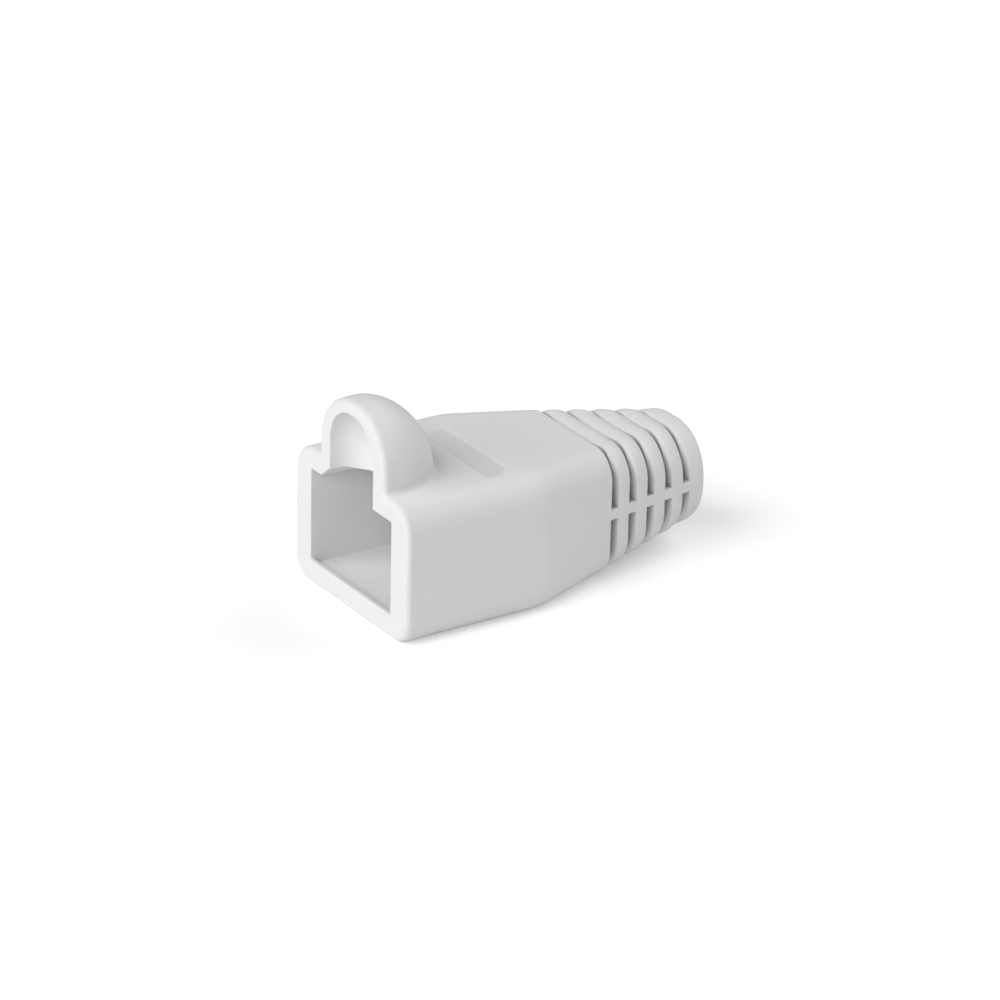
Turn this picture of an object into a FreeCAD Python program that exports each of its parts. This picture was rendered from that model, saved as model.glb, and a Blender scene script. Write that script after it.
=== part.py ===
# Strain relief boot for an eight-contact modular plug on a round cable.
# One soft moulding: a square sleeve that takes the rear of the plug, a hood
# over the plug's latch, a tapered body and a ringed tail round the cable.
# Millimetres. The boot is drawn with its mouth in the plane Y = 0 and its
# tail along +Y; the body's Placement then centres the length on the origin.
import FreeCAD, Part
import Sketcher
import math
import os
import re

doc = FreeCAD.newDocument("StrainReliefBoot")

# Driving dimensions. Widths run along X, lengths along Y, heights along Z,
# and every height is measured from the flat underside.
SIZES = {
    # square sleeve
    "sleeveWidth": 16.3,
    "sleeveHigh": 11.35,
    "sleeveLength": 12.6,
    "sleeveCornerLow": 1.85,
    "sleeveCornerHigh": 2.3,
    "frontRound": 0.5,
    "bendReach": 0.8,
    # tapered body, measured where the tail starts
    "bodyLength": 19.85,
    "bodyEndWidth": 12.4,
    "bodyEndLow": 0.48,
    "bodyEndHigh": 10.83,
    "bodyEndCorner": 2.3,
    "bodyEndRound": 0.1,
    # tail, measured at its free end
    "overallLength": 30.1,
    "tailEndWidth": 8.75,
    "tailEndLow": 1.45,
    "tailEndHigh": 9.97,
    "tailEndCorner": 4.1,
    "tailEndRound": 0.95,
    # grooves round the tail, and the neck that is left under them
    "grooveCount": 5,
    "groovePitch": 1.92,
    "grooveWidth": 0.8,
    "grooveFloor": 0.3,
    "grooveStep": 0.5,
    "stepInset": 0.06,
    "stepSideInset": 1.0,
    "slopeBury": 1.4,
    "ringCrown": 0.08,
    "ringRound": 0.06,
    "neckWidth": 7.6,
    "neckEndWidth": 6.9,
    "neckSink": 0.45,
    "neckEndSink": 0.45,
    "neckCorner": 3.1,
    "neckEndCorner": 3.3,
    "neckBury": 1.0,
    "neckCover": 0.05,
    # webs that join the rings at the height of the parting line
    "partingHigh": 5.8,
    "webHeight": 0.95,
    "webInset": 0.03,
    "webCorner": 0.2,
    # hood over the latch
    "hoodWidth": 9.4,
    "hoodHigh": 17.33,
    "hoodStraight": 1.5,
    "hoodLength": 6.4,
    "hoodEndWidth": 1.1,
    "hoodWidthPower": 2.0,
    "hoodHighPower": 1.95,
    "hoodRoundness": 0.48,
    "archFoot": 0.8,
    "archFootCorner": 0.2,
    "hoodFootRound": 0.4,
    # room for the latch inside the hood
    "latchWidth": 6.2,
    "latchHigh": 16.2,
    "latchStraight": 0.2,
    "latchLength": 2.7,
    "latchEndWidth": 0.8,
    "latchPower": 2,
    "latchRoundness": 0.47,
    # flare under that room, through the top wall: wider to the left and rear
    "flareLeft": 4.39,
    "flareRight": 2.94,
    "flareTurn": 3.1,
    "flareTurnLeft": 4.02,
    "flareRear": 4.05,
    "flareRearLeft": 2.3,
    "flareHigh": 10.7,
    "flareHighTurn": 1.2,
    "flareHighTurnLeft": 2.95,
    "flareHighRear": 2.6,
    "flareHighRearLeft": 1.3,
    # socket for the plug, with a lip that snaps behind the plug's rear edge
    "mouthWidth": 11.6,
    "mouthLow": 1.98,
    "mouthHigh": 9.67,
    "mouthCorner": 0.15,
    "mouthRound": 0.1,
    "lipLength": 0.35,
    "socketLow": 1.47,
    "socketLength": 9.5,
    # way through for the cable
    "funnelLength": 16.5,
    "cableWidth": 6.0,
    "cableHigh": 5.75,
    "cableRound": 0.3,
    # shallow recess across the top, behind the hood
    "recessStart": 8.7,
    "recessLength": 2.5,
    "recessLeft": 4.4,
    "recessRight": 5.7,
    "recessEndSlant": 1.1,
    "recessSlope": 0.35,
    "recessDepth": 0.16,
}
# Degrees round an arch's curved back at which it is sectioned.
BACK_ANGLES = (0, 15, 30, 45, 60, 75, 90)
# Shares of its length at which a ring's crowned outside is sectioned.
CROWN_STEPS = (0, 0.25, 0.5, 0.75, 1)
# Corner radius of the cable's way, as a share of its width: just under a half,
# so that the rounded square is a circle whose sides still have a length.
FULL_ROUND = 0.499
# Two places closer than this are the same place.
TOUCHING = 1e-3

sheet = doc.addObject("Spreadsheet::Sheet", "Sizes")
for row, (alias, value) in enumerate(SIZES.items(), start=1):
    sheet.set(f"A{row}", alias)
    sheet.set(f"B{row}", str(value))
    sheet.setAlias(f"B{row}", alias)
doc.recompute()

body = doc.addObject("PartDesign::Body", "Boot")
body.Label = "boot"
planes = {feature.Role: feature for feature in body.Origin.OriginFeatures}


def bound(expression):
    """the same expression with every alias written as a cell of the sheet"""
    return re.sub(r"[a-z]\w+", lambda word: "Sizes." + word[0] if word[0] in SIZES else word[0],
                  expression)


def number(expression):
    """value of an expression in aliases"""
    return float(sheet.evalExpression(bound(expression)))


def between(start, end, fraction):
    """expression for the value that far from start to end"""
    return f"({start}) + (({end}) - ({start})) * ({fraction})"


def sketch_on(plane, name, offset):
    """empty sketch parallel to one of the body's origin planes"""
    sketch = body.newObject("Sketcher::SketchObject", name)
    sketch.AttachmentSupport = [(planes[plane], "")]
    sketch.MapMode = "FlatFace"
    sketch.setExpression("AttachmentOffset.Base.z", bound(offset))
    return sketch


def dimension(sketch, label, expression, kind, *places):
    """driving dimension bound to the sheet"""
    index = sketch.addConstraint(Sketcher.Constraint(kind, *places, number(expression)))
    sketch.renameConstraint(index, label)
    sketch.setExpression(f"Constraints.{label}", bound(expression))


def line(start_x, start_y, end_x, end_y):
    return Part.LineSegment(FreeCAD.Vector(start_x, start_y), FreeCAD.Vector(end_x, end_y))


def quarter_arc(x, y, radius, start):
    circle = Part.Circle(FreeCAD.Vector(x, y), FreeCAD.Vector(0, 0, 1), radius)
    return Part.ArcOfCircle(circle, math.radians(start), math.radians(start + 90))


def section(name, station, width, low, high, corner_low, corner_high):
    """upright rounded rectangle at a distance behind the mouth"""
    sketch = sketch_on("XZ_Plane", name, f"-({station})")
    half = number(width) / 2
    bottom = number(low)
    top = number(high)
    small = number(corner_low)
    large = number(corner_high)
    sketch.addGeometry([
        line(small - half, bottom, half - small, bottom),
        quarter_arc(half - small, bottom + small, small, 270),
        line(half, bottom + small, half, top - large),
        quarter_arc(half - large, top - large, large, 0),
        line(half - large, top, large - half, top),
        quarter_arc(large - half, top - large, large, 90),
        line(-half, top - large, -half, bottom + small),
        quarter_arc(small - half, bottom + small, small, 180),
    ], False)
    for piece in range(8):
        sketch.addConstraint(Sketcher.Constraint("Tangent", piece, 2, (piece + 1) % 8, 1))
    sketch.addConstraint([
        Sketcher.Constraint("Vertical", 2),
        Sketcher.Constraint("Horizontal", 4),
        Sketcher.Constraint("Symmetric", 0, 1, 0, 2, -2),
        Sketcher.Constraint("Equal", 1, 7),
        Sketcher.Constraint("Equal", 3, 5),
    ])
    dimension(sketch, "halfWidth", f"({width}) / 2", "DistanceX", -1, 1, 2, 1)
    dimension(sketch, "low", low, "DistanceY", -1, 1, 0, 1)
    dimension(sketch, "high", high, "DistanceY", -1, 1, 4, 1)
    dimension(sketch, "cornerLow", corner_low, "Radius", 1)
    dimension(sketch, "cornerHigh", corner_high, "Radius", 3)
    return sketch


def polygon(sketch, corners):
    """closed polygon whose corners are pairs of expressions"""
    count = len(corners)
    points = [(number(across), number(along)) for across, along in corners]
    for index, point in enumerate(points):
        sketch.addGeometry(line(*point, *points[(index + 1) % count]), False)
    for index, (across, along) in enumerate(corners):
        sketch.addConstraint(Sketcher.Constraint("Coincident", index, 2, (index + 1) % count, 1))
        dimension(sketch, f"across{index}", across, "DistanceX", -1, 1, index, 1)
        dimension(sketch, f"along{index}", along, "DistanceY", -1, 1, index, 1)
    return sketch


def loft(name, sections, kind="PartDesign::AdditiveLoft", ruled=True):
    """solid or cut that runs through upright sections"""
    before = body.Shape.Volume if body.Tip else 0
    feature = body.newObject(kind, name)
    feature.Profile = sections[0]
    feature.Sections = sections[1:]
    feature.Ruled = ruled
    doc.recompute()
    check_change(name, before, kind == "PartDesign::SubtractiveLoft")


def fillet(name, radius, edges):
    """rounding of the tip's edges"""
    base = body.Tip
    feature = body.newObject("PartDesign::Fillet", name)
    feature.Base = (base, edges)
    feature.setExpression("Radius", bound(radius))
    doc.recompute()
    print(name, len(edges), "edges, volume", round(body.Shape.Volume, 2))


def check_change(name, before, is_cut):
    change = body.Shape.Volume - before
    print(name, "changes the volume by", round(change, 2))
    if change > -0.01 if is_cut else change < 0.01:
        raise SystemExit(f"{name} works the wrong way")


def edge_names(test):
    """names of the tip's edges that pass a test"""
    return [f"Edge{index}" for index, edge in enumerate(body.Tip.Shape.Edges, start=1) if test(edge)]


def lies_at(box, station):
    return abs(box.YMin - station) < TOUCHING and abs(box.YMax - station) < TOUCHING


def rim(station, outer=True):
    """edges round the upright flat face at a station: its outline, or the holes in it"""
    edges = []
    for face in body.Tip.Shape.Faces:
        if lies_at(face.BoundBox, station):
            for wire in face.Wires:
                if wire.isSame(face.OuterWire) == outer:
                    edges.extend(wire.Edges)
    return edge_names(lambda edge: any(edge.isSame(other) for other in edges))


# Square sleeve and tapered body. The bend where the taper starts is softened
# by a parabola, sectioned where it leaves the sleeve, at its middle and where
# it meets the taper.
def body_section(name, station, reach):
    """outline of the body, that far along its taper"""
    fraction = f"({reach}) / (bodyLength - sleeveLength)"
    return section(name, station, between("sleeveWidth", "bodyEndWidth", fraction),
                   between("0", "bodyEndLow", fraction),
                   between("sleeveHigh", "bodyEndHigh", fraction),
                   between("sleeveCornerLow", "bodyEndCorner", fraction),
                   between("sleeveCornerHigh", "bodyEndCorner", fraction))


loft("Body", [
    body_section("Mouth", "0", "0"),
    body_section("BendStart", "sleeveLength - bendReach", "0"),
    body_section("BendMiddle", "sleeveLength", "bendReach / 4"),
    body_section("BendEnd", "sleeveLength + bendReach", "bendReach"),
    body_section("BodyEnd", "bodyLength", "bodyLength - sleeveLength"),
])


# Hood: an arch that runs straight back from the mouth, then curves down to
# the top of the sleeve while it narrows, each on its own quarter oval.
def arch_sections(name, foot, straight, length, width, end_width, high, roundness,
                  width_power, high_power):
    """sections of a bullet-shaped arch that opens at the mouth"""
    def arch(label, station, step):
        across = between(end_width, width, f"(1 - {step} ^ {width_power}) ^ (1 / {width_power})")
        top = between("sleeveHigh", high, f"(1 - {step} ^ {high_power}) ^ (1 / {high_power})")
        return section(name + label, station, across, foot, top, "archFootCorner",
                       f"({across}) * {roundness}")

    sections = [arch("Front", "0", 0)]
    for degrees in BACK_ANGLES:
        step = round(math.sin(math.radians(degrees)), 6)
        sections.append(arch(f"Back{degrees}", between(straight, length, step), step))
    return sections


loft("Hood", arch_sections("Hood", "sleeveHigh - archFoot", "hoodStraight", "hoodLength",
                           "hoodWidth", "hoodEndWidth", "hoodHigh", "hoodRoundness",
                           "hoodWidthPower", "hoodHighPower"), ruled=False)
fillet("HoodFootRounding", "hoodFootRound",
       edge_names(lambda edge: abs(edge.BoundBox.ZMin - SIZES["sleeveHigh"]) < TOUCHING
                  and abs(edge.BoundBox.ZMax - SIZES["sleeveHigh"]) < TOUCHING
                  and edge.BoundBox.YMax < SIZES["recessStart"]
                  and abs(edge.CenterOfMass.x) < SIZES["hoodWidth"] / 2))
fillet("FrontRounding", "frontRound", rim(0))
fillet("BodyEndRounding", "bodyEndRound", rim(SIZES["bodyLength"]))


# Tail: a neck round the cable, with rings outside it and grooves between.
def along_tail(start, end, station):
    return between(start, end, f"(({station}) - bodyLength) / (overallLength - bodyLength)")


def tail_outline(station, inset, side_inset):
    """width, low, high and corner of the tail, that far inside its taper"""
    return (along_tail("bodyEndWidth", "tailEndWidth", station) + f" - 2 * {side_inset}",
            along_tail("bodyEndLow", "tailEndLow", station) + f" + {inset}",
            along_tail("bodyEndHigh", "tailEndHigh", station) + f" - {inset}",
            along_tail("bodyEndCorner", "tailEndCorner", station) + f" - {side_inset}")


def neck_outline(station, inset="0", side_inset="0"):
    """the same for the neck, which lies deeper at its sides than at its top"""
    return (along_tail("neckWidth", "neckEndWidth", station) + f" - 2 * {side_inset}",
            along_tail("bodyEndLow + neckSink", "tailEndLow + neckEndSink", station) + f" + {inset}",
            along_tail("bodyEndHigh - neckSink", "tailEndHigh - neckEndSink", station)
            + f" - {inset}",
            along_tail("neckCorner", "neckEndCorner", station) + f" - {side_inset}")


def outline_section(name, station, outline):
    width, low, high, corner = outline
    return section(name, station, width, low, high, corner, corner)


def ring_sections(name, front, rear, is_last):
    """sections of a ring whose outside is crowned; the last one keeps its size to the end"""
    sections = []
    for index, step in enumerate(CROWN_STEPS):
        fall = 0 if is_last and step > 0.5 else (2 * step - 1) ** 2
        station = between(front, rear, step)
        inset = f"ringCrown * {fall}"
        sections.append(outline_section(f"{name}At{index}", station,
                                        tail_outline(station, inset, inset)))
    return sections


def web_section(name, station):
    return section(name, station,
                   along_tail("bodyEndWidth", "tailEndWidth", station) + " - 2 * webInset",
                   "partingHigh - webHeight / 2", "partingHigh + webHeight / 2",
                   "webCorner", "webCorner")


loft("Neck", [outline_section(name, station, neck_outline(station)) for name, station in (
    ("NeckStart", "bodyLength - neckBury"),
    ("NeckEnd", "overallLength - neckBury"),
)])
# Each groove is upright at its front. Its rear slopes out to the next ring in
# two steps: it is narrow at the top and bottom, and wider at the sides.
last_ring = int(SIZES["grooveCount"])
for ring in range(1, last_ring + 1):
    groove = f"bodyLength + groovePitch * {ring - 1}"
    floor = f"{groove} + grooveFloor"
    middle = f"{groove} + grooveStep"
    front = f"{groove} + grooveWidth"
    rear = f"bodyLength + groovePitch * {ring}" if ring < last_ring else "overallLength"
    loft(f"Slope{ring}", [
        outline_section(f"Slope{ring}Foot", floor,
                        neck_outline(floor, "neckCover", "slopeBury")),
        outline_section(f"Slope{ring}Step", middle,
                        tail_outline(middle, "(ringCrown + stepInset)", "stepSideInset")),
        outline_section(f"Slope{ring}Top", front, tail_outline(front, "ringCrown", "ringCrown")),
    ])
    loft(f"Ring{ring}", ring_sections(f"Ring{ring}", front, rear, ring == last_ring), ruled=False)
    fillet(f"Ring{ring}Rounding", "ringRound" if ring < last_ring else "tailEndRound",
           rim(number(rear)))
loft("Webs", [web_section("WebsFront", "bodyLength - bodyEndRound"),
              web_section("WebsRear", "overallLength - neckBury")])


# Room for the plug, its latch and the cable.
def socket_section(name, station, width, low):
    return section(name, station, width, low, "mouthHigh", "mouthCorner", "mouthCorner")


def cable_section(name, station):
    corner = f"cableWidth * {FULL_ROUND}"
    return section(name, station, "cableWidth", "cableHigh - cableWidth / 2",
                   "cableHigh + cableWidth / 2", corner, corner)


CUT = "PartDesign::SubtractiveLoft"
loft("LatchRoom", arch_sections("LatchRoom", "mouthHigh - archFoot", "latchStraight",
                                "latchLength", "latchWidth", "latchEndWidth", "latchHigh",
                                "latchRoundness", "latchPower", "latchPower"),
     CUT, ruled=False)
loft("PlugMouth", [socket_section("MouthFront", "0", "mouthWidth", "mouthLow"),
                   socket_section("MouthRear", "lipLength + mouthRound", "mouthWidth", "mouthLow")],
     CUT)
loft("Socket", [socket_section("SocketFront", "lipLength", "mouthWidth", "socketLow"),
                socket_section("SocketRear", "socketLength", "mouthWidth", "socketLow")], CUT)
loft("Funnel", [socket_section("FunnelFront", "socketLength", "mouthWidth", "socketLow"),
                cable_section("FunnelRear", "funnelLength")], CUT)
loft("CableWay", [cable_section("CableFront", "funnelLength"),
                  cable_section("CableRear", "overallLength")], CUT)
loft("Flare", [
    polygon(sketch_on("XY_Plane", "FlareLow", "mouthHigh"), [
        ("-flareLeft", "-frontRound"),
        ("-flareTurnLeft", "flareTurn"),
        ("-flareRearLeft", "flareRear"),
        ("flareRight", "flareRear"),
        ("flareRight", "-frontRound"),
    ]),
    polygon(sketch_on("XY_Plane", "FlareHigh", "flareHigh"), [
        ("-latchWidth / 2", "-frontRound"),
        ("-flareHighTurnLeft", "flareHighTurn"),
        ("-flareHighRearLeft", "flareHighRear"),
        ("flareRight", "flareHighRear"),
        ("flareRight", "-frontRound"),
    ]),
], CUT)
fillet("MouthRounding", "mouthRound", rim(0, outer=False))
fillet("CableEndRounding", "cableRound", rim(SIZES["overallLength"], outer=False))

# Shallow recess across the top, with sloping sides.
def recess_outline(name, height, inset):
    """outline of the recess at a height, that far inside its edge"""
    front = f"recessStart + {inset}"
    rear = f"recessStart + recessLength - {inset}"
    left = f"{inset} - recessLeft"
    right = f"recessRight - {inset}"
    return polygon(sketch_on("XY_Plane", name, height), [
        (left, front),
        (right, front),
        (right, "recessStart + recessLength / 2"),
        (f"{right} - recessEndSlant", rear),
        (left, rear),
    ])


loft("TopRecess", [recess_outline("RecessEdge", "sleeveHigh", "0"),
                   recess_outline("RecessFloor", "sleeveHigh - recessDepth", "recessSlope")], CUT)

body.setExpression("Placement.Base.y", bound("-overallLength / 2"))
doc.recompute()

for item in doc.Objects:
    if "Invalid" in item.State or "Error" in item.State:
        raise SystemExit(f"{item.Name} failed: {item.State}")
if body.Shape.isNull() or not body.Shape.isValid() or len(body.Shape.Solids) != 1:
    raise SystemExit(f"{body.Label} is not one valid solid")
os.makedirs("parts", exist_ok=True)
body.Shape.exportStep(f"parts/{body.Label}.step")
print(body.Label, body.Shape.BoundBox, round(body.Shape.Volume, 1), "mm3")
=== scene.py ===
import math
import bpy
from mathutils import Matrix, Vector

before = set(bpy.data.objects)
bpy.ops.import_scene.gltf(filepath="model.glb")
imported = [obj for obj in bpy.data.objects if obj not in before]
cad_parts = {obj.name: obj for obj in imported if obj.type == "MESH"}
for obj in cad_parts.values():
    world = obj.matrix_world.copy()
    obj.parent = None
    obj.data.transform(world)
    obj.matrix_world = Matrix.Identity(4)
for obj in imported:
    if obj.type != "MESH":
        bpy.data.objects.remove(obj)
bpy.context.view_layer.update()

mm = 0.001
origin = Vector((0, 0, 0))
white = (1, 1, 1, 1)


def nodeTree(owner):
    # an empty node tree for a material or the world
    owner.use_nodes = True
    tree = owner.node_tree
    tree.nodes.clear()
    return tree


def addNode(tree, kind, **values):
    node = tree.nodes.new(kind)
    for name, value in values.items():
        setattr(node, name, value)
    return node


def direction(azimuth, elevation):
    # towards a place round the boot: azimuth from the mouth's side, in degrees
    around = math.radians(azimuth)
    upward = math.radians(elevation)
    return Vector((math.sin(around) * math.cos(upward), -math.cos(around) * math.cos(upward),
                   math.sin(upward)))


def aim(thing, place, target, roll=0.0):
    back = (place - target).normalized()
    right = Vector((0, 0, 1)).cross(back).normalized()
    turned = Matrix.Rotation(math.radians(roll), 3, back)
    right = turned @ right
    up = back.cross(right)
    turn = Matrix((right, up, back)).transposed().to_4x4()
    thing.matrix_world = Matrix.Translation(place) @ turn


# the picture's camera: where it looks, from which side, how far away
cameraSettings = {
    "target": (0.0, -2.27, 4.915),  # mm, a point inside the boot
    "azimuth": 56.61,  # degrees round from the mouth's side
    "elevation": 24.43,
    "roll": 1.27,
    "distance": 443.0,  # mm
    "lens": 206.1,
    "sensor": 36,
    "shiftX": 0.0093,
    "shiftY": 0.0171,
    "nearest": 10,  # mm
    "farthest": 10000,  # mm
}


def makeCamera(look):
    data = bpy.data.cameras.new("camera")
    data.lens = look["lens"]
    data.sensor_width = look["sensor"]
    data.shift_x = look["shiftX"]
    data.shift_y = look["shiftY"]
    data.clip_start = look["nearest"] * mm
    data.clip_end = look["farthest"] * mm
    camera = bpy.data.objects.new("camera", data)
    bpy.context.scene.collection.objects.link(camera)
    back = direction(look["azimuth"], look["elevation"])
    target = Vector(look["target"]) * mm
    aim(camera, target + back * look["distance"] * mm, target, look["roll"])
    bpy.context.scene.camera = camera


makeCamera(cameraSettings)
print("camera placed")


# soft grey plastic of the moulding
mouldedPlastic = {
    "colour": (0.80, 0.80, 0.80),
    "roughness": 0.62,
    "specular": 0.25,
    "grainSize": 0.12,  # mm
    "grainDepth": 0.004,  # mm
    "waveSize": 2.2,  # mm, the slight unevenness of the moulding
    "waveDepth": 0.02,  # mm
    "bumpDetail": 2,
    "recessPaintedShade": 0.92,  # painted shade: the recess on top is coloured a little darker, standing in for the hood's shadow
    "recessBox": ((-5.9, -6.6, 10.9), (5.9, -3.6, 11.33)),  # mm
    "recessFade": 0.1,  # mm
    "crevicePaintedShade": 0.35,  # painted shade: narrow crevices are coloured darker
    "creviceReach": 1.5,  # mm
    "creviceFrom": 0.1,  # openness up to which the shade is full
    "creviceTo": 0.55,  # openness from which there is none
    "creviceSamples": 16,
}


def multiply(tree, first, second):
    product = addNode(tree, "ShaderNodeMath", operation="MULTIPLY")
    tree.links.new(first, product.inputs[0])
    tree.links.new(second, product.inputs[1])
    return product.outputs[0]


def insideBox(tree, place, box, fade):
    # 1 inside the box, falling to 0 over the fade at each of its faces
    split = addNode(tree, "ShaderNodeSeparateXYZ")
    tree.links.new(place, split.inputs[0])
    inside = None
    for axis in range(3):
        for edge, inward in ((box[0][axis], fade), (box[1][axis], -fade)):
            step = addNode(tree, "ShaderNodeMapRange", interpolation_type="SMOOTHSTEP")
            step.inputs["From Min"].default_value = edge * mm
            step.inputs["From Max"].default_value = (edge + inward) * mm
            tree.links.new(split.outputs[axis], step.inputs["Value"])
            inside = multiply(tree, inside, step.outputs[0]) if inside else step.outputs[0]
    return inside


def moulded(tree, place, look):
    # fine grain over slow waves
    normal = None
    for size, depth in ((look["waveSize"], look["waveDepth"]), (look["grainSize"], look["grainDepth"])):
        noise = addNode(tree, "ShaderNodeTexNoise")
        noise.inputs["Scale"].default_value = 1 / (size * mm)
        noise.inputs["Detail"].default_value = look["bumpDetail"]
        bump = addNode(tree, "ShaderNodeBump")
        bump.inputs["Distance"].default_value = depth * mm
        tree.links.new(place, noise.inputs["Vector"])
        tree.links.new(noise.outputs["Fac"], bump.inputs["Height"])
        if normal:
            tree.links.new(normal, bump.inputs["Normal"])
        normal = bump.outputs["Normal"]
    return normal


def withPaintedShade(tree, place, look):
    # the colour, with painted shade inside the recess on top (standing in for the hood's shadow) and in
    # narrow crevices
    # painted shade: the colour is darker inside the recess box, where the hood's shadow falls
    recess = addNode(tree, "ShaderNodeMapRange")
    recess.inputs["To Min"].default_value = 1
    recess.inputs["To Max"].default_value = look["recessPaintedShade"]
    inside = insideBox(tree, place, look["recessBox"], look["recessFade"])
    tree.links.new(inside, recess.inputs["Value"])

    # painted shade: the colour darkens where ambient occlusion finds the surface closed in
    openness = addNode(tree, "ShaderNodeAmbientOcclusion", samples=look["creviceSamples"],
                       only_local=True)
    openness.inputs["Distance"].default_value = look["creviceReach"] * mm
    crevice = addNode(tree, "ShaderNodeMapRange")
    crevice.inputs["From Min"].default_value = look["creviceFrom"]
    crevice.inputs["From Max"].default_value = look["creviceTo"]
    crevice.inputs["To Min"].default_value = look["crevicePaintedShade"]
    tree.links.new(openness.outputs["AO"], crevice.inputs["Value"])

    colour = addNode(tree, "ShaderNodeVectorMath", operation="SCALE")
    colour.inputs[0].default_value = look["colour"]
    shade = multiply(tree, recess.outputs[0], crevice.outputs[0])
    tree.links.new(shade, colour.inputs["Scale"])
    return colour.outputs[0]


def makeMouldedPlastic(look):
    material = bpy.data.materials.new("mouldedPlastic")
    tree = nodeTree(material)
    shader = addNode(tree, "ShaderNodeBsdfPrincipled")
    shader.inputs["Roughness"].default_value = look["roughness"]
    shader.inputs["Specular IOR Level"].default_value = look["specular"]
    output = addNode(tree, "ShaderNodeOutputMaterial")
    place = addNode(tree, "ShaderNodeTexCoord").outputs["Object"]
    tree.links.new(moulded(tree, place, look), shader.inputs["Normal"])
    tree.links.new(withPaintedShade(tree, place, look), shader.inputs["Base Color"])
    tree.links.new(shader.outputs["BSDF"], output.inputs["Surface"])
    return material


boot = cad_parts["boot"]
boot.data.materials.clear()
boot.data.materials.append(makeMouldedPlastic(mouldedPlastic))
print("boot finished")


# pale floor
floorSettings = {
    "size": 1400,  # mm
    "colour": (0.93, 0.93, 0.93),
    "lift": 0.3,  # extra white that only the camera sees
}


def makePaleFloor(look):
    material = bpy.data.materials.new("paleFloor")
    tree = nodeTree(material)
    matt = addNode(tree, "ShaderNodeBsdfDiffuse")
    matt.inputs["Color"].default_value = (*look["colour"], 1)
    path = addNode(tree, "ShaderNodeLightPath")
    amount = addNode(tree, "ShaderNodeMath", operation="MULTIPLY")
    amount.inputs[1].default_value = look["lift"]
    lift = addNode(tree, "ShaderNodeEmission")
    both = addNode(tree, "ShaderNodeAddShader")
    output = addNode(tree, "ShaderNodeOutputMaterial")
    tree.links.new(path.outputs["Is Camera Ray"], amount.inputs[0])
    tree.links.new(amount.outputs[0], lift.inputs["Strength"])
    tree.links.new(matt.outputs[0], both.inputs[0])
    tree.links.new(lift.outputs[0], both.inputs[1])
    tree.links.new(both.outputs[0], output.inputs["Surface"])
    return material


def makeFloor(look):
    half = look["size"] * mm / 2
    mesh = bpy.data.meshes.new("floor")
    corners = [(-half, -half, 0), (half, -half, 0), (half, half, 0), (-half, half, 0)]
    mesh.from_pydata(corners, [], [(0, 1, 2, 3)])
    mesh.materials.append(makePaleFloor(look))
    floor = bpy.data.objects.new("floor", mesh)
    bpy.context.scene.collection.objects.link(floor)


def makeWhiteBeyond():
    # white beyond the floor, which the camera sees and which lights nothing
    world = bpy.data.worlds.new("studio")
    bpy.context.scene.world = world
    tree = nodeTree(world)
    path = addNode(tree, "ShaderNodeLightPath")
    seen = addNode(tree, "ShaderNodeBackground")
    seen.inputs["Color"].default_value = white
    output = addNode(tree, "ShaderNodeOutputWorld")
    tree.links.new(path.outputs["Is Camera Ray"], seen.inputs["Strength"])
    tree.links.new(seen.outputs[0], output.inputs["Surface"])


# soft studio lamps, with angles in degrees
lampSettings = {
    "frontLamp": {"azimuth": 0, "elevation": 35, "softness": 60, "strength": 2.33},
    "rightLamp": {"azimuth": 50, "elevation": 28, "softness": 20, "strength": 0.55},
    "sideLamp": {"azimuth": 90, "elevation": 20, "softness": 40, "strength": 0.15},
    "backLamp": {"azimuth": 180, "elevation": 35, "softness": 60, "strength": 1.35},
    "topLamp": {"azimuth": 0, "elevation": 89, "softness": 70, "strength": 0.28},
}


def makeLamp(name, lamp):
    data = bpy.data.lights.new(name, "SUN")
    data.energy = lamp["strength"]
    data.angle = math.radians(lamp["softness"])
    light = bpy.data.objects.new(name, data)
    bpy.context.scene.collection.objects.link(light)
    aim(light, direction(lamp["azimuth"], lamp["elevation"]), origin)


makeFloor(floorSettings)
makeWhiteBeyond()
for name, lamp in lampSettings.items():
    makeLamp(name, lamp)
bpy.context.scene.view_settings.view_transform = "Standard"
print("studio lit")
